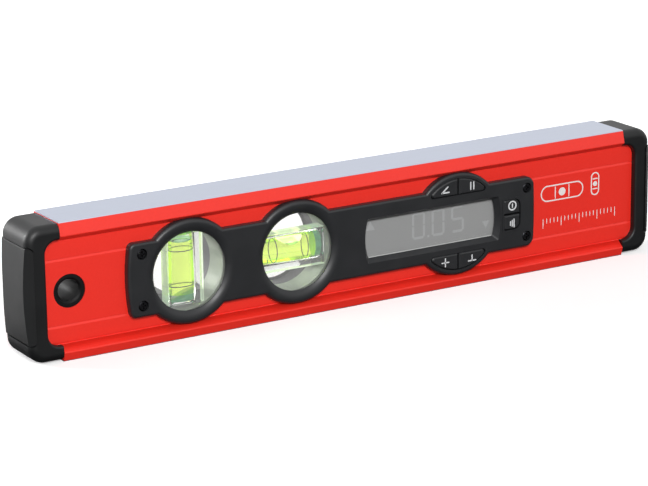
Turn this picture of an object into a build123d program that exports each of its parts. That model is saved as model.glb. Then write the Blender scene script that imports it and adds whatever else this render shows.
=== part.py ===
from build123d import *
from math import sqrt
import os

# Digital spirit level: an extruded aluminium body that carries two bubble vials, a tilt display and six keys.
# X runs along the level, Y from the display side to the back, and Z up from the base.
# The origin is the middle of the base, and every size is in millimetres.

# Aluminium profile
overall_length = 268.0
profile_height = 50.0
ridge_depth = 22.0
top_face_width = 19.4
base_face_width = 20.0
web_depth = 16.2
web_wall = 1.6
upper_rail_height = 4.9
upper_rail_slope = 2.05
lower_rail_height = 3.3
lower_rail_slope = 2.4
roof_thickness = 4.0
floor_thickness = 4.0
cavity_corner = 1.0
rail_edge_round = 0.4
groove_spacing = 23.9
groove_drop = 0.2
groove_width = 0.9
groove_depth = 0.3
foot_groove_height = 0.8
foot_groove_depth = 0.6
tongue_length = 11.2
tongue_wall = 1.4

# End caps and bumpers
cap_length = 13.7
cap_depth = 21.4
cap_set_back = 0.5
cap_front_corner = 6.0
cap_edge_round = 3.0
cap_window_reach = 5.7
cap_window_corner = 4.7
cap_window_round = 0.9
upper_leg_height = 6.0
lower_leg_height = 5.9
spigot_length = 7.5
spigot_wall = 1.4
bumper_height = 34.8
bumper_wrap = 3.2
bumper_face_half = 8.5
bumper_thickness = 1.6
bumper_proud = 0.5
bumper_end_proud = 0.9
bumper_crown = 0.9
bumper_corner = 1.6
bumper_plan_corner = 0.9
bumper_edge_round = 0.4
bumper_seam = 0.3

# Hanging hole
hang_hole_from_end = 17.7
hang_hole_radius = 6.1
bush_wall = 2.1
bush_set_back = 0.35
bush_lead_in = 0.7

# Moulded housings on the two webs
housing_thickness = 2.9
housing_wall = 1.8
housing_rise = 0.2
band_left = -94.9
band_right = 78.3
band_height = 27.2
band_left_bow = 1.2
band_right_bow = 0.4
band_left_corner = 2.2
band_right_corner = 3.5
band_edge_round = 1.0
flange_overlap = 1.4
flange_left = 3.0
flange_right = 1.3
cutout_corner = 1.5
skirt_depth = 3.5
skirt_wall = 1.2

# Window rings and vial chambers
plumb_x = -70.1
level_x = -25.8
window_radius = 14.5
ring_slope_width = 2.8
ring_slope_depth = 1.1
window_lip = 0.5
ring_lobe_radius = 19.4
ring_edge_round = 1.7
cup_radius = 16.2
cup_wall = 1.0
cup_face = 2.4
chamber_split = 2.9
rear_window_thickness = 1.2

# Bubble vials
vial_width = 14.4
vial_flange = 5.0
vial_back_radius = 5.3
vial_edge = 0.5
bore_radius = 4.5
bore_end_wall = 0.6
plug_room = 3.5
plug_length = 2.4
line_spacing = 13.0
line_width = 0.35
line_thickness = 0.15
level_bubble_length = 10.0
level_bubble_depth = 2.4
level_bubble_travel = 4.0
plumb_bubble_height = 3.0
clip_length = 4.0
clip_prong = 3.0

# Display
display_x = 32.45
display_drop = 0.5
display_width = 60.3
display_height = 17.1
display_bow = 1.1
display_corner = 0.8
display_depth = 2.2
display_inset = 1.5
lens_margin = 1.0
lens_thickness = 1.2
lens_frame_wall = 0.9
lcd_thickness = 1.8
strip_width = 1.8
strip_length = 49.0
strip_spacing = 13.0

# Keys
key_lobe_x = 43.4
key_lobe_radius = 19.7
key_lobe_edge_round = 1.2
key_radius = 17.5
key_chord = 11.4
key_corner = 1.1
key_split = 0.6
key_proud = 0.2
key_edge = 0.45
key_gap = 0.2
key_flange = 0.8
key_flange_lip = 0.8
key_travel = 0.5
key_stem_radius = 1.2
key_stem_x = 5.5
key_stem_height = 13.4
power_key_left = 64.1
power_key_width = 7.2
power_key_pair_height = 11.6
power_key_rise = 0.1
power_key_left_corner = 0.8
power_key_right_corner = 2.8
power_rim_width = 0.8
power_rim_proud = 0.2

# Circuit board and what it carries
board_left = -6.5
board_right = 71.9
board_height = 20.4
board_lobe_radius = 16.8
board_thickness = 1.2
board_gap = 0.2
board_screw_left_x = -3.6
board_screw_right_x = 68.6
board_screw_left_spacing = 16.4
board_screw_right_spacing = 17.4
board_post_radius = 1.8
board_screw_radius = 0.75
board_screw_length = 4.5
board_screw_head_radius = 1.6
board_screw_head_height = 1.0
switch_size = 3.4
switch_body_height = 1.1
switch_height = 1.6
switch_plunger_radius = 0.9
controller_size = 7.0
controller_height = 1.2
sensor_size = 4.0
sensor_height = 1.1
chip_x = -2.0
controller_rise = 2.6
sensor_drop = 4.6
buzzer_x = 65.2
buzzer_radius = 4.2
buzzer_height = 4.0
buzzer_sound_hole = 0.8

# Batteries and their bay
battery_diameter = 10.5
battery_length = 44.5
battery_nub_radius = 1.9
battery_nub_length = 0.9
battery_edge = 0.4
battery_spacing = 0.3
bay_x = 31.0
bay_floor = 1.0
bay_end_wall = 1.2
bay_end_room = 2.75
contact_thickness = 0.4
contact_height = 7.0
leaf_width = 5.0
leaf_rise = 3.0
tail_width = 2.0
door_thickness = 1.5
door_ledge = 2.5
door_side_ledge = 0.9
door_corner = 1.5
door_rib_height = 1.4
door_rib_width = 0.9
grip_count = 4
grip_pitch = 2.0
grip_width = 0.9
grip_length = 9.0
grip_rise = 0.2

# Screws through both housings
screw_from_left = 5.7
screw_from_right = 3.7
screw_spacing = 18.9
screw_recess_radius = 2.0
screw_recess_depth = 1.4
screw_head_radius = 1.85
screw_head_height = 1.2
screw_radius = 1.3
screw_length = 16.0
screw_boss_radius = 2.3
cross_length = 2.2
cross_width = 0.55
cross_depth = 0.7

# Clearances
seat_gap = 0.05
slide_gap = 0.1
cutout_gap = 0.15
thread_gap = 0.03

# Heights and faces that follow from the profile
ridge_half = ridge_depth / 2
web_half = web_depth / 2
web_bottom = lower_rail_height + lower_rail_slope
web_top = profile_height - upper_rail_height - upper_rail_slope
upper_ridge = profile_height - upper_rail_height
web_middle = (web_bottom + web_top) / 2
rail_end = overall_length / 2 - cap_length
tongue_end = rail_end + tongue_length
tongue_bottom = floor_thickness - tongue_wall
tongue_top = profile_height - roof_thickness + tongue_wall
hang_hole_x = hang_hole_from_end - overall_length / 2

# Housing places
housing_z = web_middle + housing_rise
front_face = -web_half - housing_thickness
rear_face = -front_face
wall_back = front_face + housing_wall
skirt_end = -web_half + skirt_depth
band_half = band_height / 2
cutout_half = band_half - flange_overlap
cutout_left = band_left + flange_left
cutout_right = band_right - flange_right
screw_xs = (band_left + screw_from_left, band_right - screw_from_right)
screw_zs = (housing_z - screw_spacing / 2, housing_z + screw_spacing / 2)

# Vial chamber places
ring_crest_radius = window_radius + ring_slope_width
window_seat = front_face + ring_slope_depth + window_lip
ring_tube_radius = cup_radius + slide_gap + skirt_wall
chamber_radius = cup_radius - cup_wall
vial_front = window_seat + cup_face + seat_gap
vial_y = vial_front + vial_flange
vial_half_length = sqrt(chamber_radius**2 - (vial_width / 2) ** 2) - 3 * slide_gap
fluid_start = bore_end_wall - vial_half_length
fluid_end = vial_half_length - plug_room
fluid_radius = bore_radius - seat_gap
line_inner_radius = bore_radius - line_thickness
bubble_radius = line_inner_radius - slide_gap

# Depths from the back of the level towards the display
door_inner = rear_face - door_thickness
battery_radius = battery_diameter / 2
battery_y = door_inner - seat_gap - battery_radius
bay_floor_top = battery_y - battery_radius - seat_gap
bay_floor_bottom = bay_floor_top - bay_floor
board_back = bay_floor_bottom - board_gap
board_front = board_back - board_thickness
lens_front = front_face + display_depth
lens_back = lens_front + lens_thickness
lcd_front = lens_back + seat_gap
lcd_back = lcd_front + lcd_thickness
display_z = housing_z - display_drop

# Battery bay and door outlines
battery_offset = (battery_diameter + battery_spacing) / 2
bay_half = battery_offset + battery_radius + cutout_gap
bay_left = bay_x - battery_length / 2 - bay_end_room
bay_right = bay_x + battery_length / 2 + bay_end_room
door_width = bay_right - bay_left + 2 * door_ledge
door_height = 2 * (bay_half + door_side_ledge)

# Key places
power_z = housing_z + power_key_rise
power_x = power_key_left + power_key_width / 2
flange_front = wall_back + seat_gap
flange_back = flange_front + key_flange
switch_top = board_front - switch_height
stem_end = switch_top - key_travel - seat_gap


def slab(outline, y_low, y_high):
    """Thicken an outline drawn in X and Z from y_low to y_high."""
    return extrude(Plane.XZ.offset(-y_high) * outline, amount=y_high - y_low)


def rod(x, z, radius, y_low, y_high):
    """A round bar along Y."""
    return slab(Pos(x, z) * Circle(radius), y_low, y_high)


def block(x_low, x_high, y_low, y_high, z_low, z_high):
    """A plain box between six planes."""
    middle = Pos((x_low + x_high) / 2, (y_low + y_high) / 2, (z_low + z_high) / 2)
    return middle * Box(x_high - x_low, y_high - y_low, z_high - z_low)


def frontmost_edges(part):
    """The edges round the face nearest the viewer of the display side."""
    return part.faces().sort_by(Axis.Y)[0].edges()


def profile_outline():
    """Outer section of the extrusion in Y and Z: two rails joined by two webs."""
    half = [
        (-base_face_width / 2, 0),
        (-ridge_half, lower_rail_height),
        (-web_half, web_bottom),
        (-web_half, web_top),
        (-ridge_half, upper_ridge),
        (-top_face_width / 2, profile_height),
    ]
    other_half = [(-y, z) for y, z in reversed(half)]
    outline = make_face(Polyline(*half, *other_half, close=True))
    outer_corners = [corner for corner in outline.vertices() if abs(corner.X) > web_half + seat_gap]
    return fillet(outer_corners, rail_edge_round)


def web_groove(side, z):
    """Section of one shallow groove in a web face: a flat upper flank over a long sloping lower one."""
    surface = side * web_half
    top = z + groove_width / 2
    points = [
        (surface + side * groove_depth, top),
        (surface - side * groove_depth, top),
        (surface + side * groove_depth, top - 2 * groove_width),
    ]
    return make_face(Polyline(*points, close=True))


def foot_groove(side):
    """Section of the square groove along the foot of a web, just above the lower rail."""
    middle = Pos(side * (web_half - foot_groove_depth / 2), web_bottom + foot_groove_height / 2)
    return middle * Rectangle(foot_groove_depth, foot_groove_height)


def web_cutout(margin, with_rings=True):
    """Opening in a web behind the housings, drawn smaller by the margin."""
    width = cutout_right - cutout_left - 2 * margin
    height = 2 * (cutout_half - margin)
    middle = Pos((cutout_left + cutout_right) / 2, housing_z)
    outline = middle * RectangleRounded(width, height, cutout_corner)
    if with_rings:
        for x in (plumb_x, level_x):
            outline += Pos(x, housing_z) * Circle(ring_tube_radius + cutout_gap - margin)
    return outline


def body_profile():
    """The hollow extrusion with its cut-outs, hanging hole and milled ends."""
    outline = profile_outline()
    for side in (-1, 1):
        for z in (web_middle - groove_drop - groove_spacing / 2, web_middle - groove_drop + groove_spacing / 2):
            outline -= web_groove(side, z)
        outline -= foot_groove(side)
    cavity_height = profile_height - roof_thickness - floor_thickness
    cavity = RectangleRounded(web_depth - 2 * web_wall, cavity_height, cavity_corner)
    outline -= Pos(0, floor_thickness + cavity_height / 2) * cavity
    body = extrude(Plane.YZ.offset(-tongue_end) * outline, amount=2 * tongue_end)
    tongue = block(-tongue_end, tongue_end, -web_half, web_half, tongue_bottom, tongue_top)
    rails = block(-rail_end, rail_end, -ridge_half, ridge_half, 0, profile_height)
    body = body & (tongue + rails)
    front_cut = web_cutout(0) + Pos(key_lobe_x, housing_z) * Circle(key_radius + key_gap + cutout_gap)
    body -= slab(front_cut, -ridge_half, 0)
    body -= slab(web_cutout(0), 0, ridge_half)
    body -= rod(hang_hole_x, housing_z, hang_hole_radius, -ridge_half, ridge_half)
    return body


def cap_outer(x_start, x_end):
    """Outer form of the right end cap: a block with large end corners and softened front and rear outlines."""
    half = cap_depth / 2
    form = block(x_start, x_end, -half, half, cap_set_back, profile_height - cap_set_back)
    form = fillet(form.edges().filter_by(Axis.Y).group_by(Axis.X)[-1], cap_front_corner)
    outlines = [edge for edge in form.edges() if abs(edge.center().Y) > half - seat_gap]
    return fillet([edge for edge in outlines if edge.center().X > x_start + seat_gap], cap_edge_round)


def bumper_form(margin, seam):
    """The pad round the right end, with slanting sides.

    It is grown by the margin behind it and by the seam round its outline.
    """
    x_end = overall_length / 2
    x_start = x_end - bumper_wrap - seam
    half_depth = cap_depth / 2 + bumper_proud
    corners = [(0, half_depth), (x_end - bumper_wrap, half_depth), (x_end, bumper_face_half)]
    plan = make_face(Polyline(*corners, *[(x, -y) for x, y in reversed(corners)], close=True))
    hollow = offset(plan, -bumper_thickness - margin, kind=Kind.INTERSECTION)
    plan = fillet(plan.vertices().group_by(Axis.X)[-1], bumper_plan_corner) - hollow
    height = bumper_height + 2 * seam
    front = Pos((x_start + x_end) / 2, profile_height / 2) * Rectangle(x_end - x_start, height)
    front = fillet(front.vertices().group_by(Axis.X)[0], bumper_corner)
    pad = extrude(Plane.XY.offset(profile_height / 2 - height / 2) * plan, amount=height)
    return pad & slab(front, -cap_depth, cap_depth)


def right_bumper():
    """The right pad, slightly crowned, with its upper and lower outside edges softened."""
    crown_radius = (bumper_height / 2) ** 2 / (2 * bumper_crown) + bumper_crown / 2
    crown = Pos(overall_length / 2 - crown_radius, profile_height / 2) * Circle(crown_radius)
    pad = bumper_form(0, 0) & slab(crown, -cap_depth, cap_depth)
    end_edges = pad.faces().sort_by(Axis.X)[-1].edges().filter_by(Axis.Y)
    return fillet(end_edges, bumper_edge_round)


def right_end_cap():
    """The right cap: a cup over the tongue, C-shaped flanges and a spigot inside the extrusion."""
    x_start = rail_end + slide_gap
    x_end = overall_length / 2 - bumper_end_proud
    socket_end = tongue_end + seat_gap
    cap = cap_outer(x_start, x_end)
    half = web_half + seat_gap
    cap -= block(x_start, socket_end, -half, half, tongue_bottom - seat_gap, tongue_top + seat_gap)
    window_end = rail_end + cap_window_reach
    window_start = x_start - cap_window_reach
    window_low = lower_leg_height
    window_high = profile_height - upper_leg_height
    middle = Pos((window_start + window_end) / 2, (window_low + window_high) / 2)
    window = middle * Rectangle(window_end - window_start, window_high - window_low)
    window = fillet(window.vertices().group_by(Axis.X)[-1], cap_window_corner)
    cap -= slab(window, -cap_depth, cap_depth)
    front_rim = cap.faces().sort_by(Axis.Y)[0]
    rear_rim = cap.faces().sort_by(Axis.Y)[-1]
    rims = [rim_edge for rim in (front_rim, rear_rim) for rim_edge in inner_rim(rim, window_end)]
    cap = fillet(rims, cap_window_round)
    cap -= bumper_form(seat_gap, bumper_seam)
    return cap + spigot(socket_end)


def inner_rim(face, window_end):
    """Edges of a cap's outer flat that run round the C-shaped window."""
    low = lower_leg_height - seat_gap
    high = profile_height - upper_leg_height + seat_gap
    inside = [edge for edge in face.edges() if low < edge.center().Z < high]
    return [edge for edge in inside if edge.center().X < window_end + seat_gap]


def spigot(socket_end):
    """Hollow plug of the cap inside the end of the extrusion."""
    half = web_half - web_wall - slide_gap
    low = floor_thickness + slide_gap
    high = profile_height - roof_thickness - slide_gap
    start = tongue_end - spigot_length
    plug = Pos(0, (low + high) / 2) * RectangleRounded(2 * half, high - low, cavity_corner)
    plug -= Pos(0, (low + high) / 2) * Rectangle(2 * (half - spigot_wall), high - low - 2 * spigot_wall)
    return extrude(Plane.YZ.offset(start) * plug, amount=socket_end - start)


def hang_hole_bush():
    """Sleeve through both webs, with a flared bore at each mouth."""
    end = web_half - bush_set_back
    outer = hang_hole_radius - thread_gap
    bore = hang_hole_radius - bush_wall
    mouth = bore + bush_lead_in
    points = [
        (bore, -end + bush_lead_in),
        (mouth, -end),
        (outer, -end),
        (outer, end),
        (mouth, end),
        (bore, end - bush_lead_in),
    ]
    section = make_face(Polyline(*points, close=True))
    return Pos(hang_hole_x, 0, housing_z) * revolve(section, axis=Axis.Y)


def band_outline():
    """The long plate of a housing, bowed at both ends."""
    top = housing_z + band_half
    bottom = housing_z - band_half
    left = band_left + band_left_bow
    right = band_right - band_right_bow
    sides = [
        ThreePointArc((left, top), (band_left, housing_z), (left, bottom)),
        Line((left, bottom), (right, bottom)),
        ThreePointArc((right, bottom), (band_right, housing_z), (right, top)),
        Line((right, top), (left, top)),
    ]
    outline = make_face(sides)
    outline = fillet(outline.vertices().group_by(Axis.X)[0], band_left_corner)
    return fillet(outline.vertices().group_by(Axis.X)[-1], band_right_corner)


def lobe(x, radius, edge_round):
    """A round raised disc of the front housing with a rounded front edge."""
    disc = rod(x, housing_z, radius, front_face, -web_half)
    return fillet(frontmost_edges(disc), edge_round)


def rail_clearance():
    """Space that the rails take in front of the web, grown by the clearance."""
    upper = [(-web_half, web_top), (-ridge_half, upper_ridge), (-ridge_half, profile_height), (-web_half, profile_height)]
    lower = [(-web_half, web_bottom), (-ridge_half, lower_rail_height), (-ridge_half, 0), (-web_half, 0)]
    length = 2 * rail_end
    cutters = Part()
    for points in (upper, lower):
        rail = offset(make_face(Polyline(*points, close=True)), slide_gap, kind=Kind.INTERSECTION)
        cutters += extrude(Plane.YZ.offset(-rail_end) * rail, amount=length)
    return cutters - block(-rail_end, rail_end, -web_half, web_half, 0, profile_height)


def housing_plate():
    """Outer plate shared by both housings: the bowed band and the two window lobes."""
    band = slab(band_outline(), front_face, -web_half)
    plate = fillet(frontmost_edges(band), band_edge_round)
    for x in (plumb_x, level_x):
        plate += lobe(x, ring_lobe_radius, ring_edge_round)
    return plate


def window_dish(x):
    """Space in front of a vial window: a rounded slope down to the window, then the window itself."""
    crest = (ring_crest_radius, front_face)
    foot = (window_radius, front_face + ring_slope_depth)
    above = front_face - ring_slope_depth
    sides = [
        Line((0, above), (ring_crest_radius, above)),
        Line((ring_crest_radius, above), crest),
        TangentArc(crest, foot, tangent=(-1, 0)),
        Line(foot, (window_radius, window_seat)),
        Line((window_radius, window_seat), (0, window_seat)),
        Line((0, window_seat), (0, above)),
    ]
    return Pos(x, 0, housing_z) * revolve(make_face(sides), axis=Axis.Y)


def skirt_outline():
    """Locating wall of a housing just inside the straight part of the web opening."""
    inner = web_cutout(cutout_gap + skirt_wall, with_rings=False)
    return web_cutout(cutout_gap, with_rings=False) - inner


def display_outline(margin):
    """The display opening with bowed ends, drawn smaller by the margin."""
    half_width = display_width / 2 - margin
    half_height = display_height / 2 - margin
    shoulder = half_width - display_bow
    sides = [
        ThreePointArc((-shoulder, half_height), (-half_width, 0), (-shoulder, -half_height)),
        Line((-shoulder, -half_height), (shoulder, -half_height)),
        ThreePointArc((shoulder, -half_height), (half_width, 0), (shoulder, half_height)),
        Line((shoulder, half_height), (-shoulder, half_height)),
    ]
    outline = make_face(sides)
    return Pos(display_x, display_z) * fillet(outline.vertices(), display_corner)


def key_segment(side, margin):
    """One circular segment of the key lobe, above (1) or below (-1) the display."""
    radius = key_radius - margin
    chord = key_chord + margin
    half_chord = sqrt(radius**2 - chord**2)
    arc = ThreePointArc((-half_chord, side * chord), (0, side * radius), (half_chord, side * chord))
    outline = make_face([arc, Line((half_chord, side * chord), (-half_chord, side * chord))])
    return Pos(key_lobe_x, housing_z) * fillet(outline.vertices(), key_corner)


def power_outline(margin):
    """Outline of the key pair beside the display, straight on the left and round on the right."""
    width = power_key_width - 2 * margin
    height = power_key_pair_height - 2 * margin
    outline = Pos(power_x, power_z) * Rectangle(width, height)
    outline = fillet(outline.vertices().group_by(Axis.X)[0], power_key_left_corner)
    return fillet(outline.vertices().group_by(Axis.X)[-1], power_key_right_corner)


def board_screw_places():
    """X and Z of the screws that hold the circuit board."""
    spacings = ((board_screw_left_x, board_screw_left_spacing), (board_screw_right_x, board_screw_right_spacing))
    return [(x, housing_z + side * spacing / 2) for x, spacing in spacings for side in (-1, 1)]


def front_housing():
    """The display-side moulding: plate, locating walls, lens frame, key openings and screw bosses."""
    shell = housing_plate() + lobe(key_lobe_x, key_lobe_radius, key_lobe_edge_round)
    shell -= rail_clearance()
    shell += slab(skirt_outline(), -web_half, skirt_end)
    lobe_pocket = Pos(key_lobe_x, housing_z) * Circle(key_radius + key_gap)
    hollow = web_cutout(cutout_gap + skirt_wall, with_rings=False) + lobe_pocket
    shell -= slab(hollow, wall_back, skirt_end)
    frame = display_outline(display_inset - lens_margin - slide_gap - lens_frame_wall)
    shell += slab(frame, wall_back, lcd_back)
    for x in (plumb_x, level_x):
        shell += rod(x, housing_z, ring_tube_radius, wall_back, skirt_end)
        shell -= rod(x, housing_z, cup_radius + slide_gap, window_seat, skirt_end)
        shell -= window_dish(x)
    for x in screw_xs:
        for z in screw_zs:
            shell += rod(x, z, screw_boss_radius, wall_back, -slide_gap)
            shell -= rod(x, z, screw_recess_radius, front_face, front_face + screw_recess_depth)
            shell -= rod(x, z, screw_radius + slide_gap, front_face, 0)
    for x, z in board_screw_places():
        shell += rod(x, z, board_post_radius, wall_back, board_front)
        shell -= rod(x, z, board_screw_radius + thread_gap, board_back - board_screw_length - seat_gap, board_front)
    shell += slab(power_outline(-power_rim_width), front_face - power_rim_proud, front_face)
    shell -= slab(display_outline(display_inset - lens_margin - slide_gap), lens_front, lcd_back)
    shell -= display_funnel()
    for side in (-1, 1):
        shell -= slab(key_segment(side, -key_gap), front_face, wall_back)
    return shell - slab(power_outline(-key_gap), front_face - power_rim_proud, wall_back)


def display_funnel():
    """Space in front of the lens, narrowing from the front face to the lens."""
    front = Plane.XZ.offset(-front_face) * display_outline(0)
    back = Plane.XZ.offset(-lens_front) * display_outline(display_inset)
    return loft([front, back], ruled=True)


def vial_clip(x, turned):
    """Clip of a rear vial chamber: prongs behind the flange of a vial, beside its round back.

    The upright vial has one on each side, the level vial only one below it.
    """
    start = vial_half_length - clip_length
    front = vial_y + seat_gap
    back = -window_seat - rear_window_thickness - seat_gap
    inner = vial_back_radius + seat_gap
    outer = inner + clip_prong
    prongs = block(start, cup_radius, front, back, -outer, -inner)
    if turned:
        prongs += block(start, cup_radius, front, back, inner, outer)
        prongs = Rot(0, 90, 0) * prongs
    room = rod(x, housing_z, chamber_radius - slide_gap, front, chamber_split + seat_gap)
    room += rod(x, housing_z, cup_radius, chamber_split + seat_gap, rear_face)
    return Pos(x, 0, housing_z) * prongs & room


def rear_housing():
    """The back moulding: plate, vial chambers, battery bay and screw bosses."""
    shell = housing_plate() - rail_clearance()
    for x in (plumb_x, level_x):
        shell -= window_dish(x)
    shell = mirror(shell, about=Plane.XZ)
    shell += slab(skirt_outline(), -skirt_end, web_half)
    hollow = web_cutout(cutout_gap + skirt_wall, with_rings=False)
    shell -= slab(hollow, -skirt_end, -wall_back)
    for x, turned in ((plumb_x, True), (level_x, False)):
        shell += rod(x, housing_z, cup_radius, chamber_split + seat_gap, -wall_back)
        shell -= rod(x, housing_z, chamber_radius, chamber_split, -window_seat)
        shell -= rod(x, housing_z, window_radius, -window_seat, rear_face)
        shell += vial_clip(x, turned)
    shell += battery_bay()
    low = housing_z - bay_half
    high = housing_z + bay_half
    shell -= block(bay_left, bay_right, bay_floor_top, rear_face, low, high)
    shell -= slab(door_outline(-slide_gap), door_inner, rear_face)
    for z in tail_heights():
        slot = tail_width / 2 + slide_gap
        shell -= block(bay_right - 2 * contact_thickness, bay_right, bay_floor_bottom, bay_floor_top, z - slot, z + slot)
    for x in screw_xs:
        for z in screw_zs:
            shell += rod(x, z, screw_boss_radius, 0, -wall_back)
            shell -= rod(x, z, screw_radius + thread_gap, 0, -wall_back)
    return shell


def battery_bay():
    """Outer box of the battery bay before it is hollowed."""
    half = cutout_half - cutout_gap
    left = bay_left - bay_end_wall
    right = bay_right + bay_end_wall
    return block(left, right, bay_floor_bottom, -wall_back, housing_z - half, housing_z + half)


def door_outline(margin):
    """Outline of the battery door, drawn smaller by the margin."""
    rectangle = RectangleRounded(door_width - 2 * margin, door_height - 2 * margin, door_corner)
    return Pos(bay_x, housing_z) * rectangle


def battery_door():
    """Flush cover with two inner ribs and a patch of raised grip ribs."""
    door = slab(door_outline(0), door_inner, rear_face)
    rib_reach = bay_half - slide_gap
    for side in (-1, 1):
        rib_zs = (housing_z + side * rib_reach, housing_z + side * (rib_reach - door_rib_width))
        left = bay_left + slide_gap
        right = bay_right - slide_gap
        door += block(left, right, door_inner - door_rib_height, door_inner, min(rib_zs), max(rib_zs))
    for number in range(grip_count):
        x = bay_right - number * grip_pitch
        low = housing_z - grip_length / 2
        door += block(x - grip_width, x, rear_face, rear_face + grip_rise, low, low + grip_length)
    return door


def housing_screws():
    """Four cross-head screws from the front housing into the rear bosses."""
    screws = []
    head_front = front_face + screw_recess_depth - screw_head_height
    head_back = front_face + screw_recess_depth
    for x in screw_xs:
        for z in screw_zs:
            screw = rod(x, z, screw_head_radius, head_front, head_back)
            screw = chamfer(frontmost_edges(screw), screw_head_height / 3)
            screw += rod(x, z, screw_radius, head_back, head_back + screw_length)
            for width, height in ((cross_length, cross_width), (cross_width, cross_length)):
                screw -= slab(Pos(x, z) * Rectangle(width, height), head_front, head_front + cross_depth)
            screws.append(screw)
    return Compound(children=screws)


def front_window(x):
    """Clear cup behind a front ring: a disc with a wall round the vial."""
    cup = rod(x, housing_z, cup_radius, window_seat, chamber_split)
    return cup - rod(x, housing_z, chamber_radius, window_seat + cup_face, chamber_split)


def rear_window(x):
    """Clear disc at the back of a vial chamber."""
    return rod(x, housing_z, chamber_radius - slide_gap, -window_seat - rear_window_thickness, -window_seat)


def vial_place(x, turned):
    """Place of a vial drawn along X: the plumb vial is turned so that its plug points down."""
    if turned:
        return Pos(x, vial_y, housing_z) * Rot(0, 90, 0)
    return Pos(x, vial_y, housing_z)


def bore_rod(radius, x_low, x_high):
    """A round bar along X on the axis of the bore."""
    return extrude(Plane.YZ.offset(x_low) * Circle(radius), amount=x_high - x_low)


def vial_block(x, turned):
    """Clear bar: a flat flange towards the display, a round back, and a bore that is open at one end."""
    length = 2 * vial_half_length
    flange = Pos(0, -vial_flange / 2, 0) * Box(length, vial_flange, vial_width)
    flange = chamfer(flange.edges().filter_by(Axis.X), vial_edge)
    back = bore_rod(vial_back_radius, -vial_half_length, vial_half_length)
    bar = flange + (back & Pos(0, vial_back_radius / 2, 0) * Box(length, vial_back_radius, vial_width))
    bar -= bore_rod(bore_radius, fluid_start, vial_half_length)
    return vial_place(x, turned) * bar


def vial_plug(x, turned):
    """Plug that closes the open end of the bore."""
    start = fluid_end + seat_gap
    return vial_place(x, turned) * bore_rod(fluid_radius, start, start + plug_length)


def vial_lines(x, turned):
    """Two thin rings on the wall of the bore."""
    rings = []
    for side in (-1, 1):
        middle = side * line_spacing / 2
        low = middle - line_width / 2
        high = middle + line_width / 2
        ring = bore_rod(bore_radius - thread_gap, low, high) - bore_rod(line_inner_radius, low, high)
        rings.append(vial_place(x, turned) * ring)
    return Compound(children=rings)


def vial_fluid(start, end):
    """Fluid that fills the bore from start to end, with room for the two rings."""
    fluid = bore_rod(fluid_radius, start + seat_gap, end)
    for side in (-1, 1):
        middle = side * line_spacing / 2
        low = middle - line_width / 2 - thread_gap
        high = middle + line_width / 2 + thread_gap
        inner = line_inner_radius - thread_gap
        fluid -= bore_rod(bore_radius, low, high) - bore_rod(inner, low, high)
    return fluid


def level_vial_fluid():
    """Fluid of the level vial, with a trough along its top where the bubble runs."""
    trough_half = level_bubble_length / 2 + level_bubble_travel + slide_gap
    trough_floor = bubble_radius - level_bubble_depth - slide_gap
    trough = block(-trough_half, trough_half, -bore_radius, bore_radius, trough_floor, bore_radius)
    return vial_place(level_x, False) * (vial_fluid(fluid_start, fluid_end) - trough)


def level_vial_bubble():
    """Long air bubble under the top of the bore, rounded below."""
    half = level_bubble_length / 2
    curve = (half**2 + level_bubble_depth**2) / (2 * level_bubble_depth)
    middle = bubble_radius - level_bubble_depth + curve
    form = bore_rod(bubble_radius, -half, half) & rod(0, middle, curve, -bore_radius, bore_radius)
    return vial_place(level_x, False) * form


def plumb_bubble_start():
    """End of the plumb bubble that faces the fluid, along the bore."""
    return fluid_start + plumb_bubble_height


def plumb_vial_fluid():
    """Fluid of the plumb vial, below the bubble."""
    return vial_place(plumb_x, True) * vial_fluid(plumb_bubble_start(), fluid_end)


def plumb_vial_bubble():
    """Air bubble that fills the closed top end of the plumb bore."""
    bubble = bore_rod(fluid_radius, fluid_start + seat_gap, plumb_bubble_start())
    rim = bubble.faces().sort_by(Axis.X)[-1].edges()
    return vial_place(plumb_x, True) * fillet(rim, plumb_bubble_height / 2)


def display_window():
    """Clear lens seated from behind against the display opening."""
    return slab(display_outline(display_inset - lens_margin), lens_front, lens_back)


def lcd_panel():
    """Display glass behind the lens."""
    return slab(display_outline(display_inset - lens_margin), lcd_front, lcd_back)


def lcd_contact_strips():
    """Two rubber strips that join the display glass to the circuit board."""
    strips = []
    for side in (-1, 1):
        middle = display_z + side * strip_spacing / 2
        left = display_x - strip_length / 2
        low = middle - strip_width / 2
        strips.append(block(left, left + strip_length, lcd_back, board_front, low, low + strip_width))
    return Compound(children=strips)


def circuit_board():
    """Board behind the display, with round lobes behind the keys."""
    outline = Pos((board_left + board_right) / 2, housing_z) * Rectangle(board_right - board_left, board_height)
    outline += Pos(key_lobe_x, housing_z) * Circle(board_lobe_radius)
    for x, z in board_screw_places():
        outline -= Pos(x, z) * Circle(board_screw_radius + slide_gap)
    return slab(outline, board_front, board_back)


def board_screws():
    """Four small screws that hold the board on its posts."""
    screws = []
    for x, z in board_screw_places():
        screw = rod(x, z, board_screw_radius, board_back - board_screw_length, board_back)
        screws.append(screw + rod(x, z, board_screw_head_radius, board_back, board_back + board_screw_head_height))
    return Compound(children=screws)


def key_stems():
    """X and Z of the six key stems and of the switches behind them, by key name."""
    upper = housing_z + key_stem_height
    lower = housing_z - key_stem_height
    quarter = (power_key_pair_height + key_split) / 4
    return {
        "mode_key": (key_lobe_x - key_stem_x, upper),
        "hold_key": (key_lobe_x + key_stem_x, upper),
        "cal_key": (key_lobe_x - key_stem_x, lower),
        "ref_key": (key_lobe_x + key_stem_x, lower),
        "power_key": (power_x, power_z + quarter),
        "beep_key": (power_x, power_z - quarter),
    }


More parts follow.
